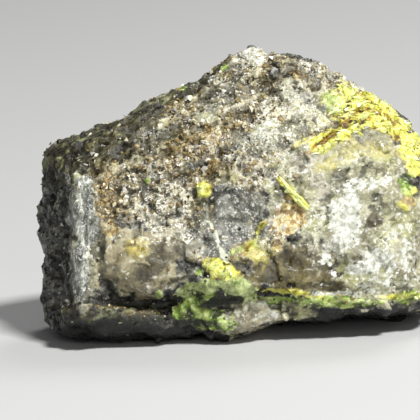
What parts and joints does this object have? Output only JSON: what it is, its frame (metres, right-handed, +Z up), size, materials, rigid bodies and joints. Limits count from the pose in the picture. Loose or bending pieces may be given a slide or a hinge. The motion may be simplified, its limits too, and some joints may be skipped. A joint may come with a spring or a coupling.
{
  "type": "mineral specimen",
  "caption": "Miniature specimen of quartz-rich skarn rock with bright yellow pottsite crusts and green stains, resting on its uneven underside.",
  "frame": {"origin": "middle of the bounding box's underside, level with the flats that the stone rests on", "axes": "+Z up, +X to the right along the longest side when the yellow-crusted face is seen, +Y away from the viewer through the stone's depth"},
  "size_m": [0.0378, 0.0248, 0.0259],
  "materials": {
    "stone": "broken quartz rock, glassy to granular"
  },
  "bodies": {
    "root": {"stone": "stone"}
  },
  "joints": []
}
